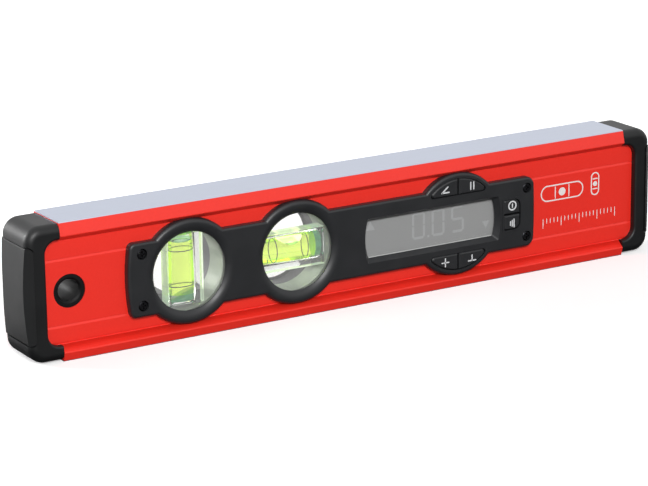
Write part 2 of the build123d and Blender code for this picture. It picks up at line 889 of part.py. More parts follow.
def key_switches():
    """Six small switches on the front of the board."""
    switches = []
    for x, z in key_stems().values():
        base = slab(Pos(x, z) * Rectangle(switch_size, switch_size), board_front - switch_body_height, board_front)
        switches.append(base + rod(x, z, switch_plunger_radius, switch_top, board_front))
    return Compound(children=switches)


def key(cap_outline, flange_outline, stem_place):
    """A key with a bevelled top, a flange behind the housing wall and a stem to its switch."""
    top = slab(cap_outline, front_face - key_proud, flange_front)
    top = chamfer(frontmost_edges(top), key_edge)
    x, z = stem_place
    return top + slab(flange_outline, flange_front, flange_back) + rod(x, z, key_stem_radius, flange_front, stem_end)


def lobe_key(name, side, half):
    """A key above or below the display: the left (-1) or right (1) half of a circular segment."""
    reach = key_lobe_radius
    inner = key_lobe_x + half * key_split / 2
    outer = key_lobe_x + half * reach
    keep = Pos((inner + outer) / 2, housing_z) * Rectangle(abs(outer - inner), 2 * reach)
    lip = Pos(0, -side * key_flange_lip) * key_segment(side, 0)
    flange = key_segment(side, 0) + lip
    return key(key_segment(side, 0) & keep, flange & keep, key_stems()[name])


def pair_key(name, half):
    """A key beside the display: the upper (1) or lower (-1) half of the pair."""
    inner = power_z + half * key_split / 2
    outer = power_z + half * power_key_pair_height
    keep = Pos(power_x, (inner + outer) / 2) * Rectangle(2 * power_key_width, abs(outer - inner))
    lip = Pos(0, half * key_flange_lip) * power_outline(0)
    flange = power_outline(0) + lip
    return key(power_outline(0) & keep, flange & keep, key_stems()[name])


def chip(x, z, size, height):
    """A square chip on the back of the board."""
    return slab(Pos(x, z) * Rectangle(size, size), board_back, board_back + height)


def buzzer():
    """Round sounder on the back of the board, with its sound hole."""
    can = rod(buzzer_x, housing_z, buzzer_radius, board_back, board_back + buzzer_height)
    return can - rod(buzzer_x, housing_z, buzzer_sound_hole, board_back + buzzer_height / 2, board_back + buzzer_height)


def battery(z, side):
    """A cell along X with its raised end on the given side."""
    shoulder = battery_length / 2 - battery_nub_length
    cell = extrude(Plane.YZ.offset(-battery_length / 2) * Circle(battery_radius), amount=shoulder + battery_length / 2)
    cell = chamfer(cell.edges().filter_by(GeomType.CIRCLE), battery_edge)
    cell += extrude(Plane.YZ.offset(shoulder) * Circle(battery_nub_radius), amount=battery_nub_length)
    if side < 0:
        cell = mirror(cell, about=Plane.YZ)
    return Pos(bay_x, battery_y, z) * cell


def contact_leaf(z):
    """A bent leaf that presses on the end of a cell, drawn for the left end of the bay."""
    plate = bay_left + slide_gap + contact_thickness
    tip = bay_left + bay_end_room - seat_gap
    back = tip - contact_thickness
    points = [
        (plate, battery_y - leaf_rise),
        (tip, battery_y),
        (plate, battery_y + leaf_rise),
        (plate - contact_thickness, battery_y + leaf_rise),
        (back, battery_y),
        (plate - contact_thickness, battery_y - leaf_rise),
    ]
    leaf = make_face(Polyline(*points, close=True))
    return extrude(Plane.XY.offset(z - leaf_width / 2) * leaf, amount=leaf_width)


def contact_plate(z_low, z_high):
    """Flat plate of a contact against the left end wall of the bay."""
    left = bay_left + slide_gap
    half = contact_height / 2
    return block(left, left + contact_thickness, battery_y - half, battery_y + half, z_low, z_high)


def tail_heights():
    """Z of the two contact tails that reach the circuit board."""
    return housing_z - battery_offset, housing_z + battery_offset


def battery_contacts():
    """A bridge across both cells at the left and two single contacts with tails at the right."""
    half = leaf_width / 2
    lower, upper = tail_heights()
    bridge = contact_plate(lower - half, upper + half) + contact_leaf(lower) + contact_leaf(upper)
    turn = Plane.YZ.offset(bay_x)
    pieces = [bridge]
    for z in (lower, upper):
        plate = mirror(contact_plate(z - half, z + half) + contact_leaf(z), about=turn)
        right = bay_right - slide_gap
        tail_low = z - tail_width / 2
        tail_top = battery_y - contact_height / 2
        plate += block(right - contact_thickness, right, board_back, tail_top, tail_low, tail_low + tail_width)
        pieces.append(plate)
    return Compound(children=pieces)


def all_pieces():
    """Every named piece of the level."""
    lower_cell, upper_cell = tail_heights()
    pieces = {
        "body_profile": body_profile(),
        "right_end_cap": right_end_cap(),
        "right_bumper": right_bumper(),
        "hang_hole_bush": hang_hole_bush(),
        "front_housing": front_housing(),
        "rear_housing": rear_housing(),
        "housing_screws": housing_screws(),
        "level_vial_fluid": level_vial_fluid(),
        "level_vial_bubble": level_vial_bubble(),
        "plumb_vial_fluid": plumb_vial_fluid(),
        "plumb_vial_bubble": plumb_vial_bubble(),
        "display_window": display_window(),
        "lcd_panel": lcd_panel(),
        "lcd_contact_strips": lcd_contact_strips(),
        "circuit_board": circuit_board(),
        "board_screws": board_screws(),
        "key_switches": key_switches(),
        "mode_key": lobe_key("mode_key", 1, -1),
        "hold_key": lobe_key("hold_key", 1, 1),
        "cal_key": lobe_key("cal_key", -1, -1),
        "ref_key": lobe_key("ref_key", -1, 1),
        "power_key": pair_key("power_key", 1),
        "beep_key": pair_key("beep_key", -1),
        "controller_chip": chip(chip_x, housing_z + controller_rise, controller_size, controller_height),
        "tilt_sensor": chip(chip_x, housing_z - sensor_drop, sensor_size, sensor_height),
        "buzzer": buzzer(),
        "upper_battery": battery(upper_cell, 1),
        "lower_battery": battery(lower_cell, -1),
        "battery_contacts": battery_contacts(),
        "battery_door": battery_door(),
    }
    pieces["left_end_cap"] = mirror(pieces["right_end_cap"], about=Plane.YZ)
    pieces["left_bumper"] = mirror(pieces["right_bumper"], about=Plane.YZ)
    for vial, x, turned in (("plumb", plumb_x, True), ("level", level_x, False)):
        pieces[vial + "_vial_block"] = vial_block(x, turned)
        pieces[vial + "_vial_plug"] = vial_plug(x, turned)
        pieces[vial + "_vial_lines"] = vial_lines(x, turned)
        pieces[vial + "_front_window"] = front_window(x)
        pieces[vial + "_rear_window"] = rear_window(x)
    return pieces


os.makedirs("parts", exist_ok=True)
for node, shape in all_pieces().items():
    export_step(shape, "parts/" + node + ".step")
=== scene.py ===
import logging
import math
from dataclasses import dataclass, field
from enum import Enum
from typing import Callable, Dict, List, Optional, Tuple, Union

import bmesh
import bpy
from mathutils import Euler, Matrix, Vector


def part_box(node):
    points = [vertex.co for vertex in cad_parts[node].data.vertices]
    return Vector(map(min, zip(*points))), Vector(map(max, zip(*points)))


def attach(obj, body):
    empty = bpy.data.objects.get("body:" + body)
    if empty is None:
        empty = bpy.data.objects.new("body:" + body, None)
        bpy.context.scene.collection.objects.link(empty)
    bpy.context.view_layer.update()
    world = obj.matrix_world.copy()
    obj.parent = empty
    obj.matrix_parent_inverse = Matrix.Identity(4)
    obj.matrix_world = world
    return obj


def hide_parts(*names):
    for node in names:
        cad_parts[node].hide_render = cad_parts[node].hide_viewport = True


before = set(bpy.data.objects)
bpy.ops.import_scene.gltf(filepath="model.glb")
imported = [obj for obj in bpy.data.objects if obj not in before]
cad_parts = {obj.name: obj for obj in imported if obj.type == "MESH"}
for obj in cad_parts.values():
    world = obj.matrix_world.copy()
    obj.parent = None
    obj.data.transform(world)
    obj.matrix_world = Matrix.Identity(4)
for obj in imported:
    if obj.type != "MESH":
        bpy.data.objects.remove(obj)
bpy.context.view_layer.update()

Colour = Tuple[float, float, float]
Point = Tuple[float, float, float]
Settings = Optional[Dict[str, object]]
Inputs = Optional[Dict[Union[str, int], object]]

LOG = logging.getLogger("spirit_level")
MM = 0.001
ROOT_BODY = "level_body"
WHITE: Colour = (1.0, 1.0, 1.0)
BLACK: Colour = (0.0, 0.0, 0.0)
NOISE_MIDDLE = 0.5
PRINT_LIFT = 0.03 * MM
UPRIGHT = 0.0
FLAT = math.pi / 2


class Vial(Enum):
    """The two bubble vials, by the start of their pieces' names."""

    PLUMB = "plumb"
    LEVEL = "level"


class KeySign(Enum):
    """The keys, by node name, in the order in which their signs are drawn."""

    MODE = "mode_key"
    HOLD = "hold_key"
    CALIBRATE = "cal_key"
    REFERENCE = "ref_key"
    POWER = "power_key"
    BEEP = "beep_key"


def srgb(red: int, green: int, blue: int) -> Colour:
    """Turn a display colour into the linear colour that a shader takes.

    Args:
        red: red from 0 to 255.
        green: green from 0 to 255.
        blue: blue from 0 to 255.

    Returns:
        The linear colour, each part from 0 to 1.
    """

    def linear(part: int) -> float:
        """One part of the colour, made linear."""
        share = part / 255
        return share / 12.92 if share <= 0.04045 else ((share + 0.055) / 1.055) ** 2.4

    return linear(red), linear(green), linear(blue)


class Field:
    """A shader value whose arithmetic adds Math nodes to its graph."""

    def __init__(self, graph: "Graph", socket: bpy.types.NodeSocket) -> None:
        """Keep the graph and the socket that carries the value."""
        self.graph = graph
        self.socket = socket

    def _math(self, operation: str, *values: "Operand") -> "Field":
        """Add one Math node.

        Args:
            operation: the node's operation.
            values: its operands in order.

        Returns:
            The node's value.
        """
        inputs = dict(enumerate(values))
        return self.graph.value("ShaderNodeMath", {"operation": operation}, inputs)

    def __add__(self, other: "Operand") -> "Field":
        """The sum."""
        return self._math("ADD", self, other)

    __radd__ = __add__

    def __sub__(self, other: "Operand") -> "Field":
        """The difference."""
        return self._math("SUBTRACT", self, other)

    def __rsub__(self, other: "Operand") -> "Field":
        """The difference from a number."""
        return self._math("SUBTRACT", other, self)

    def __mul__(self, other: "Operand") -> "Field":
        """The product."""
        return self._math("MULTIPLY", self, other)

    def __pow__(self, other: "Operand") -> "Field":
        """The power."""
        return self._math("POWER", self, other)

    def most(self, other: "Operand") -> "Field":
        """The larger of two values."""
        return self._math("MAXIMUM", self, other)

    def swing(self, amount: float) -> "Field":
        """A noise turned into a change of up to half the amount either way."""
        return (self - NOISE_MIDDLE) * amount

    def above(self, limit: float, width: float) -> "Field":
        """Rise smoothly from 0 to 1 across a limit.

        Args:
            limit: the value at the middle of the rise.
            width: how wide the rise is.

        Returns:
            The mask.
        """
        inputs = {"Value": self, "From Min": limit - width / 2, "From Max": limit + width / 2}
        settings = {"interpolation_type": "SMOOTHSTEP"}
        return self.graph.value("ShaderNodeMapRange", settings, inputs)

    def below(self, limit: float, width: float) -> "Field":
        """Fall smoothly from 1 to 0 across a limit."""
        return 1 - self.above(limit, width)


Operand = Union[Field, float]


class Graph:
    """A node tree that is built in code."""

    def __init__(self, tree: bpy.types.NodeTree) -> None:
        """Take over the tree and empty it."""
        self.tree = tree
        self.tree.nodes.clear()

    def add(self, kind: str, settings: Settings = None, inputs: Inputs = None) -> bpy.types.Node:
        """Add a node.

        Args:
            kind: the node's type.
            settings: its properties, which are set first.
            inputs: values or links of its sockets, by name or number.

        Returns:
            The node.
        """
        node = self.tree.nodes.new(kind)
        for name, setting in (settings or {}).items():
            setattr(node, name, setting)
        for key, value in (inputs or {}).items():
            self.feed(node.inputs[key], value)
        return node

    def feed(self, socket: bpy.types.NodeSocket, value: object) -> None:
        """Set or link a socket.

        Args:
            socket: the socket.
            value: a number, a colour, a field or another socket.
        """
        if isinstance(value, Field):
            self.tree.links.new(value.socket, socket)
        elif isinstance(value, bpy.types.NodeSocket):
            self.tree.links.new(value, socket)
        elif isinstance(value, tuple) and socket.type == "RGBA":
            socket.default_value = (*value, 1.0)
        else:
            socket.default_value = value

    def value(
        self, kind: str, settings: Settings = None, inputs: Inputs = None, output: Union[str, int] = 0
    ) -> Field:
        """Add a node and return one of its outputs as a value.

        Args:
            kind: the node's type.
            settings: its properties.
            inputs: values or links of its sockets.
            output: the output's name or number.

        Returns:
            The value.
        """
        return Field(self, self.add(kind, settings, inputs).outputs[output])

    def place(self) -> bpy.types.NodeSocket:
        """The Object coordinates of the surface."""
        return self.add("ShaderNodeTexCoord").outputs["Object"]

    def axes(self) -> Tuple[Field, Field, Field]:
        """The three Object coordinates as values in metres."""
        split = self.add("ShaderNodeSeparateXYZ", None, {0: self.place()})
        return tuple(Field(self, output) for output in split.outputs)

    def noise(self, size: float, detail: float = 2.0, stretch: Point = (1.0, 1.0, 1.0)) -> Field:
        """Add noise on Object coordinates.

        Args:
            size: the size of its grains in metres.
            detail: how many finer layers it has.
            stretch: how much finer it is along each axis.

        Returns:
            The noise, around 0.5.
        """
        spread = self.add("ShaderNodeMapping", None, {"Vector": self.place(), "Scale": stretch})
        inputs = {"Vector": spread.outputs[0], "Scale": 1 / size, "Detail": detail}
        return self.value("ShaderNodeTexNoise", None, inputs)

    def blend(self, mask: Operand, first: object, second: object) -> bpy.types.NodeSocket:
        """Mix two colours by a mask.

        Args:
            mask: 0 for the first colour, 1 for the second.
            first: the first colour.
            second: the second colour.

        Returns:
            The mixed colour.
        """
        node = self.add("ShaderNodeMix", {"data_type": "RGBA"}, {0: mask, 6: first, 7: second})
        return node.outputs[2]


class Skin(Graph):
    """The node tree of one material, started with a Principled shader."""

    def __init__(self, name: str) -> None:
        """Make the material and its shader.

        Args:
            name: the material's name.
        """
        self.material = bpy.data.materials.new(name)
        self.material.use_nodes = True
        super().__init__(self.material.node_tree)
        self.shader = self.add("ShaderNodeBsdfPrincipled")
        self.add("ShaderNodeOutputMaterial", None, {"Surface": self.shader.outputs[0]})

    def dress(self, **sockets: object) -> None:
        """Set the shader's sockets, with spaces written as underscores."""
        for name, value in sockets.items():
            self.feed(self.shader.inputs[name.replace("_", " ")], value)

    def grain(self, height: Field, depth: float, strength: float = 1.0) -> None:
        """Feed a height in shares of the depth to the shader's normal through a Bump node."""
        bump = self.add("ShaderNodeBump", None, {"Strength": strength, "Distance": depth, "Height": height})
        self.feed(self.shader.inputs["Normal"], bump.outputs[0])


@dataclass(frozen=True)
class CoatedAluminium:
    """Red powder coat over an extrusion whose measuring faces are milled bare.

    The slope above the foot rail is shaded as a shoulder that rolls over to the front.
    """

    height: float
    coat: Colour = srgb(242, 50, 37)
    coat_deep: Colour = srgb(234, 42, 30)
    coat_roughness: float = 0.34
    coat_uneven: float = 0.1
    coat_sheen: float = 0.62
    speckle_size: float = 0.9 * MM
    metal: Colour = srgb(199, 205, 220)
    metal_dark: Colour = srgb(181, 187, 202)
    metal_roughness: float = 0.36
    metal_uneven: float = 0.16
    stroke_size: float = 0.35 * MM
    stroke_stretch: Point = (0.02, 1.0, 1.0)
    milled_rim: float = 0.32 * MM
    rim_blur: float = 0.1 * MM
    grain_depth: float = 0.006 * MM
    slope_foot: float = 3.3 * MM
    slope_rise: float = 2.4 * MM
    slope_roll: float = 1.5 * MM

    def material(self) -> bpy.types.Material:
        """Build the finish.

        Returns:
            The material for the profile.
        """
        graph = Skin("red_coat_and_milled_metal")
        _, _, z = graph.axes()
        top = z.above(self.height - self.milled_rim, self.rim_blur)
        milled = top.most(z.below(self.milled_rim, self.rim_blur))
        speckle = graph.noise(self.speckle_size, 3.0)
        strokes = graph.noise(self.stroke_size, 2.0, self.stroke_stretch)
        coat = graph.blend(speckle, self.coat_deep, self.coat)
        metal = graph.blend(strokes, self.metal_dark, self.metal)
        roughness = self.coat_roughness + speckle.swing(self.coat_uneven)
        metal_gloss = self.metal_roughness + strokes.swing(self.metal_uneven)
        graph.dress(
            Base_Color=graph.blend(milled, coat, metal),
            Metallic=milled,
            Roughness=roughness + (metal_gloss - roughness) * milled,
            Specular_IOR_Level=self.coat_sheen,
        )
        up_slope = ((z - self.slope_foot) * (1 / self.slope_rise)).most(0.0)
        roll = (1 - up_slope * up_slope).most(0.0)
        grain = speckle + (strokes - speckle) * milled
        graph.grain(roll + grain * (self.grain_depth / self.slope_roll), self.slope_roll)
        return graph.material


@dataclass(frozen=True)
class MouldedPlastic:
    """Matte moulded plastic with a fine spark-eroded grain and faint cloudy wear."""

    name: str
    colour: Colour
    worn: Colour
    roughness: float = 0.5
    sheen: float = 0.5
    uneven: float = 0.14
    cloud_size: float = 9 * MM
    cloud_share: float = 0.6
    grain_size: float = 0.28 * MM
    grain_depth: float = 0.02 * MM
    grain_strength: float = 0.6

    def material(self) -> bpy.types.Material:
        """Build the finish.

        Returns:
            The material for a moulded piece.
        """
        graph = Skin(self.name)
        grain = graph.noise(self.grain_size)
        cloud = graph.noise(self.cloud_size, 3.0)
        wear = cloud * self.cloud_share + grain * (1 - self.cloud_share)
        graph.dress(
            Base_Color=graph.blend(wear, self.colour, self.worn),
            Roughness=self.roughness + cloud.swing(self.uneven),
            Specular_IOR_Level=self.sheen,
        )
        graph.grain(grain, self.grain_depth, self.grain_strength)
        return graph.material


@dataclass(frozen=True)
class BrushedMetal:
    """Metal with fine strokes in its gloss."""

    name: str
    colour: Colour
    dark: Colour
    roughness: float = 0.32
    uneven: float = 0.2
    stroke_size: float = 0.3 * MM
    stroke_stretch: Point = (1.0, 0.2, 1.0)

    def material(self) -> bpy.types.Material:
        """Build the finish.

        Returns:
            The material for a metal piece.
        """
        graph = Skin(self.name)
        strokes = graph.noise(self.stroke_size, 2.0, self.stroke_stretch)
        graph.dress(
            Base_Color=graph.blend(strokes, self.dark, self.colour),
            Metallic=1.0,
            Roughness=self.roughness + strokes.swing(self.uneven),
        )
        return graph.material


@dataclass(frozen=True)
class VialBar:
    """Clear acrylic bar whose two long side faces are slightly frosted and painted pale with a glow of their
    own.
    """

    name: str
    axis: int
    low_side: float
    high_side: float
    tint: Colour = srgb(250, 253, 248)
    index: float = 1.45
    haze: float = 0.09
    frost_rim: float = 0.25 * MM
    frost_blur: float = 0.05 * MM
    frost_roughness: float = 0.15
    frost_tint: Colour = srgb(150, 158, 140)
    # Painted glow: the frosted side faces emit this pale green-grey light.
    frost_painted_glow: Colour = srgb(150, 166, 142)
    patch_size: float = 2 * MM
    patch_least: float = 0.7
    patch_uneven: float = 0.5

    def material(self) -> bpy.types.Material:
        """Build the finish.

        Returns:
            The material for one bar.
        """
        graph = Skin(self.name)
        across = graph.axes()[self.axis]
        sides = across.below(self.low_side + self.frost_rim, self.frost_blur)
        sides = sides.most(across.above(self.high_side - self.frost_rim, self.frost_blur))
        patches = graph.noise(self.patch_size)
        # Mask of the painted glow on the frosted side faces, in patches.
        frost_and_painted_light = sides * (patches * self.patch_uneven + self.patch_least)
        graph.dress(
            Base_Color=graph.blend(sides, self.tint, self.frost_tint),
            Transmission_Weight=1.0,
            IOR=self.index,
            Roughness=self.haze + sides * self.frost_roughness,
            Emission_Color=graph.blend(frost_and_painted_light, BLACK, self.frost_painted_glow),
            Emission_Strength=1.0,
        )
        return graph.material


@dataclass(frozen=True)
class ThinPane:
    """Thin clear pane: nearly all of it is open, and the rest is polish that grows at grazing angles."""

    name: str
    polish: float = 0.04
    edge_polish: float = 0.4
    edge_power: int = 4
    roughness: float = 0.02
    uneven: float = 0.04
    haze_size: float = 6 * MM

    def material(self) -> bpy.types.Material:
        """Build the finish.

        Returns:
            The material for a pane.
        """
        graph = Skin(self.name)
        haze = graph.noise(self.haze_size)
        graph.dress(
            Base_Color=WHITE,
            Metallic=1.0,
            Roughness=self.roughness + haze * self.uneven,
            Alpha=self.seen_share(graph),
        )
        return graph.material

    def seen_share(self, graph: Skin) -> Field:
        """The share of the pane that shows polish, by the slant at which it is seen."""
        slant = graph.value("ShaderNodeLayerWeight", None, {"Blend": 0.5}, "Facing")
        return self.polish + slant ** self.edge_power * self.edge_polish


@dataclass(frozen=True)
class WindowCup(ThinPane):
    """Clear window cup: slightly veiled face, frosted wall whose pale green-grey is painted light from the
    vial inside it.
    """

    centre: Tuple[float, float] = (0.0, 0.0)
    wall_radius: float = 15 * MM
    wall_blur: float = 0.1 * MM
    wall_cover: float = 0.92
    wall_roughness: float = 0.35
    face_roughness: float = 0.03
    veil: float = 0.055
    # Frosted wall colours: the pale green-grey is painted light from the vial, streaked at random.
    frost_and_painted_light: Colour = srgb(147, 157, 139)
    frost_and_painted_light_dark: Colour = srgb(127, 138, 120)
    streak_size: float = 5 * MM
    streak_stretch: Point = (1.0, 0.25, 1.0)
    streak_blur: float = 0.3

    def material(self) -> bpy.types.Material:
        """Build the finish.

        Returns:
            The material for a window cup.
        """
        graph = Skin(self.name)
        x, _, z = graph.axes()
        across = x - self.centre[0]
        up = z - self.centre[1]
        distance = (across * across + up * up) ** 0.5
        wall = distance.above(self.wall_radius, self.wall_blur)
        streaks = graph.noise(self.streak_size, 2.0, self.streak_stretch)
        frost_and_painted_light = graph.blend(streaks.above(NOISE_MIDDLE, self.streak_blur), self.frost_and_painted_light_dark, self.frost_and_painted_light)
        face = self.seen_share(graph) + self.veil
        graph.dress(
            Base_Color=graph.blend(wall, WHITE, frost_and_painted_light),
            Roughness=wall * self.wall_roughness + self.face_roughness,
            Alpha=face + (self.wall_cover - face) * wall,
        )
        return graph.material


@dataclass(frozen=True)
class VialFluid:
    """Fluorescent yellow-green fluid, matched in index to the bar round it."""

    tint: Colour = srgb(229, 249, 106)
    tint_pale: Colour = srgb(224, 246, 114)
    drift_size: float = 7 * MM
    glow: Colour = srgb(190, 225, 40)
    glow_strength: float = 0.12

    def material(self) -> bpy.types.Material:
        """Build the finish.

        Returns:
            The material for the fluid.
        """
        graph = Skin("vial_fluid_green")
        drift = graph.noise(self.drift_size)
        graph.dress(
            Base_Color=graph.blend(drift, self.tint, self.tint_pale),
            Transmission_Weight=1.0,
            IOR=1.0,
            Roughness=0.0,
            Emission_Color=self.glow,
            Emission_Strength=self.glow_strength,
        )
        return graph.material


@dataclass(frozen=True)
class VialAir:
    """The air bubble of a vial: pale above, where it glows with a painted shine when glow is set, with a
    painted green reflection of the fluid along its lower edge.
    """

    name: str
    foot: float
    top: float
    glow: float
    index: float = 1.05
    pale: Colour = srgb(250, 255, 240)
    # Painted reflection: the green rim stands in for the fluid seen in the bubble's lower edge.
    rim: Colour = srgb(96, 176, 96)
    shine: Colour = srgb(226, 234, 255)
    painted_rim_share: float = 0.3
    rim_blur: float = 0.15
    wave_size: float = 3 * MM
    wave_share: float = 0.1

    def material(self) -> bpy.types.Material:
        """Build the finish.

        Returns:
            The material for a bubble.
        """
        graph = Skin(self.name)
        height = self.top - self.foot
        up = graph.axes()[2] + graph.noise(self.wave_size).swing(self.wave_share * height)
        edge = up.below(self.foot + self.painted_rim_share * height, self.rim_blur * height)
        graph.dress(
            Base_Color=graph.blend(edge, self.pale, self.rim),
            Transmission_Weight=1.0,
            IOR=self.index,
            Roughness=0.0,
            # Painted glow: the pale upper part emits the shine, as strong as glow.
            Emission_Color=graph.blend(edge, self.shine, BLACK),
            Emission_Strength=self.glow,
        )
        return graph.material


@dataclass(frozen=True)
class DisplayGlass:
    """Grey display glass, faintly clouded, with a fine speckle and a faint painted glow of its own."""

    colour: Colour = srgb(146, 147, 146)
    shade: Colour = srgb(138, 139, 139)
    painted_glow: float = 0.06
    roughness: float = 0.35
    uneven: float = 0.1
    cloud_size: float = 12 * MM
    cloud_share: float = 0.7
    grain_size: float = 0.25 * MM

    def material(self) -> bpy.types.Material:
        """Build the finish.

        Returns:
            The material for the display panel.
        """
        graph = Skin("display_glass_grey")
        cloud = graph.noise(self.cloud_size)
        grain = graph.noise(self.grain_size, 1.0)
        mottle = cloud * self.cloud_share + grain * (1 - self.cloud_share)
        graph.dress(
            Base_Color=graph.blend(mottle, self.colour, self.shade),
            Roughness=self.roughness + grain * self.uneven,
            # Painted glow: the glass emits a little white light of its own, which lightens the shade of the
            # housing on it.
            Emission_Color=WHITE,
            Emission_Strength=self.painted_glow,
        )
        return graph.material


@dataclass(frozen=True)
class PrintedInk:
    """Thin printed ink, slightly uneven."""

    name: str
    colour: Colour
    shade: Colour
    roughness: float = 0.5
    uneven: float = 0.1
    patch_size: float = 0.5 * MM

    def material(self) -> bpy.types.Material:
        """Build the finish.

        Returns:
            The material for printed marks.
        """
        graph = Skin(self.name)
        patches = graph.noise(self.patch_size)
        colour = graph.blend(patches, self.colour, self.shade)
        graph.dress(Base_Color=colour, Roughness=self.roughness + patches * self.uneven)
        return graph.material


class Outline(Enum):
    """The outlines of printed plates, by how many corners they have."""

    ARROW = 3
    SEGMENT = 6
    DOT = 8
    BAR = 12
    DISC = 48
    TUBE = 64


class Bench:
    """Modelling steps that are shared by the new pieces."""

    rod_sides: int = 96
    bevel_steps: int = 2
    rod_smoothing: float = math.radians(40)
    union_smoothing: float = math.radians(30)

    @staticmethod
    def clear() -> None:
        """Leave edit mode and deselect everything."""
        if bpy.context.mode != "OBJECT":
            bpy.ops.object.mode_set(mode="OBJECT")
        bpy.ops.object.select_all(action="DESELECT")

    @staticmethod
    def take(piece: bpy.types.Object) -> None:
        """Make a piece the only selected one, and the active one.

        Args:
            piece: the piece.
        """
        Bench.clear()
        bpy.context.view_layer.objects.active = piece
        piece.select_set(True)

    @staticmethod
    def settle(name: str) -> bpy.types.Object:
        """Name the active piece and put its place, turn and size into its mesh.

        Args:
            name: the piece's name.

        Returns:
            The piece.
        """
        piece = bpy.context.active_object
        piece.name = name
        piece.data.name = name
        bpy.ops.object.transform_apply(location=True, rotation=True, scale=True)
        return piece

    @staticmethod
    def pick(kind: str, rule: Callable[[object], bool]) -> None:
        """Select, in edit mode, what a rule picks on the active piece.

        Args:
            kind: verts or edges.
            rule: tells whether one of them is picked.
        """
        bpy.ops.mesh.select_mode(type={"verts": "VERT", "edges": "EDGE"}[kind])
        bpy.ops.mesh.select_all(action="DESELECT")
        mesh = bpy.context.active_object.data
        shape = bmesh.from_edit_mesh(mesh)
        for part in getattr(shape, kind):
            part.select_set(rule(part))
        bmesh.update_edit_mesh(mesh)

    @staticmethod
    def bar(name: str, low: Point, high: Point, edge: float) -> bpy.types.Object:
        """Model a bar with bevelled edges.

        Args:
            name: the piece's name.
            low: its lowest corner.
            high: its highest corner.
            edge: the width of the bevel.

        Returns:
            The bar.
        """
        Bench.clear()
        middle = [(a + b) / 2 for a, b in zip(low, high)]
        size = [b - a for a, b in zip(low, high)]
        bpy.ops.mesh.primitive_cube_add(size=1, location=middle, scale=size)
        piece = Bench.settle(name)
        bpy.ops.object.mode_set(mode="EDIT")
        bpy.ops.mesh.select_all(action="SELECT")
        bpy.ops.mesh.bevel(offset=edge, segments=Bench.bevel_steps, affect="EDGES")
        bpy.ops.object.mode_set(mode="OBJECT")
        return piece

    @staticmethod
    def rod(name: str, low: Point, high: Point, along: Vector, edge: float) -> bpy.types.Object:
        """Model a round bar with a bevelled rim at each end.

        Args:
            name: the piece's name.
            low: lowest corner of the box that it fills.
            high: highest corner of that box.
            along: the direction of its length, X or Z.
            edge: the width of the rim's bevel.

        Returns:
            The round bar.
        """
        Bench.clear()
        size = Vector(high) - Vector(low)
        bpy.ops.mesh.primitive_cylinder_add(
            vertices=Bench.rod_sides,
            radius=size.y / 2,
            depth=size.dot(along),
            location=(Vector(low) + Vector(high)) / 2,
            rotation=along.to_track_quat("Z", "Y").to_euler(),
        )
        piece = Bench.settle(name)
        bpy.ops.object.mode_set(mode="EDIT")
        Bench.pick("edges", lambda rim: abs((rim.verts[0].co - rim.verts[1].co).dot(along)) < edge)
        bpy.ops.mesh.bevel(offset=edge, segments=Bench.bevel_steps, affect="EDGES")
        bpy.ops.object.mode_set(mode="OBJECT")
        bpy.ops.object.shade_smooth_by_angle(angle=Bench.rod_smoothing)
        return piece

    @staticmethod
    def trim(piece: bpy.types.Object, place: Vector, kept: Vector) -> None:
        """Keep only what lies on one side of a plane, and close the cut.

        Args:
            piece: the piece.
            place: a point of the plane.
            kept: the plane's normal, towards the side that is kept.
        """
        Bench.take(piece)
        bpy.ops.object.mode_set(mode="EDIT")
        bpy.ops.mesh.select_all(action="SELECT")
        bpy.ops.mesh.bisect(plane_co=place, plane_no=kept, use_fill=True, clear_inner=True)
        bpy.ops.object.mode_set(mode="OBJECT")

    @staticmethod
    def unite(piece: bpy.types.Object, other: bpy.types.Object) -> None:
        """Unite a piece with another one, which is used up.

        Args:
            piece: the piece that stays.
            other: the piece that is added to it.
        """
        Bench.take(piece)
        union = piece.modifiers.new("union", "BOOLEAN")
        union.operation = "UNION"
        union.solver = "EXACT"
        union.object = other
        bpy.ops.object.modifier_apply(modifier=union.name)
        bpy.data.objects.remove(other)
        bpy.ops.object.shade_smooth_by_angle(angle=Bench.union_smoothing)

    @staticmethod
    def plate(
        outline: Outline,
        reach: float,
        place: Point,
        turn: float = UPRIGHT,
        stretch: float = 0.0,
        wall: float = 0.0,
    ) -> bpy.types.Object:
        """Model a thin printed plate on a face that looks towards the display's viewer.

        Args:
            outline: its outline, with the first corner upwards.
            reach: how far its corners are from its middle.
            place: the middle of its back.
            turn: its turn to the left in radians.
            stretch: how far its upper and lower halves are drawn apart from its middle.
            wall: the width of its rim if it is open in the middle, otherwise zero.

        Returns:
            The plate.
        """
        Bench.clear()
        bpy.ops.mesh.primitive_circle_add(vertices=outline.value, radius=reach, fill_type="NGON")
        bpy.ops.object.mode_set(mode="EDIT")
        if stretch:
            for side in (1, -1):
                Bench.pick("verts", lambda corner: corner.co.y * side > 0)
                bpy.ops.transform.translate(value=(0, side * stretch, 0))
        bpy.ops.mesh.select_mode(type="FACE")
        bpy.ops.mesh.select_all(action="SELECT")
        if wall:
            bpy.ops.mesh.inset(thickness=wall)
            bpy.ops.mesh.delete(type="FACE")
            bpy.ops.mesh.select_all(action="SELECT")
        bpy.ops.mesh.extrude_region_move(TRANSFORM_OT_translate={"value": (0, 0, PRINT_LIFT)})
        bpy.ops.mesh.select_all(action="SELECT")
        bpy.ops.mesh.normals_make_consistent(inside=False)
        bpy.ops.object.mode_set(mode="OBJECT")
        piece = bpy.context.active_object
        stand = Matrix.Rotation(math.pi / 2, 4, "X")
        piece.matrix_world = Matrix.Translation(place) @ stand @ Matrix.Rotation(turn, 4, "Z")
        return piece

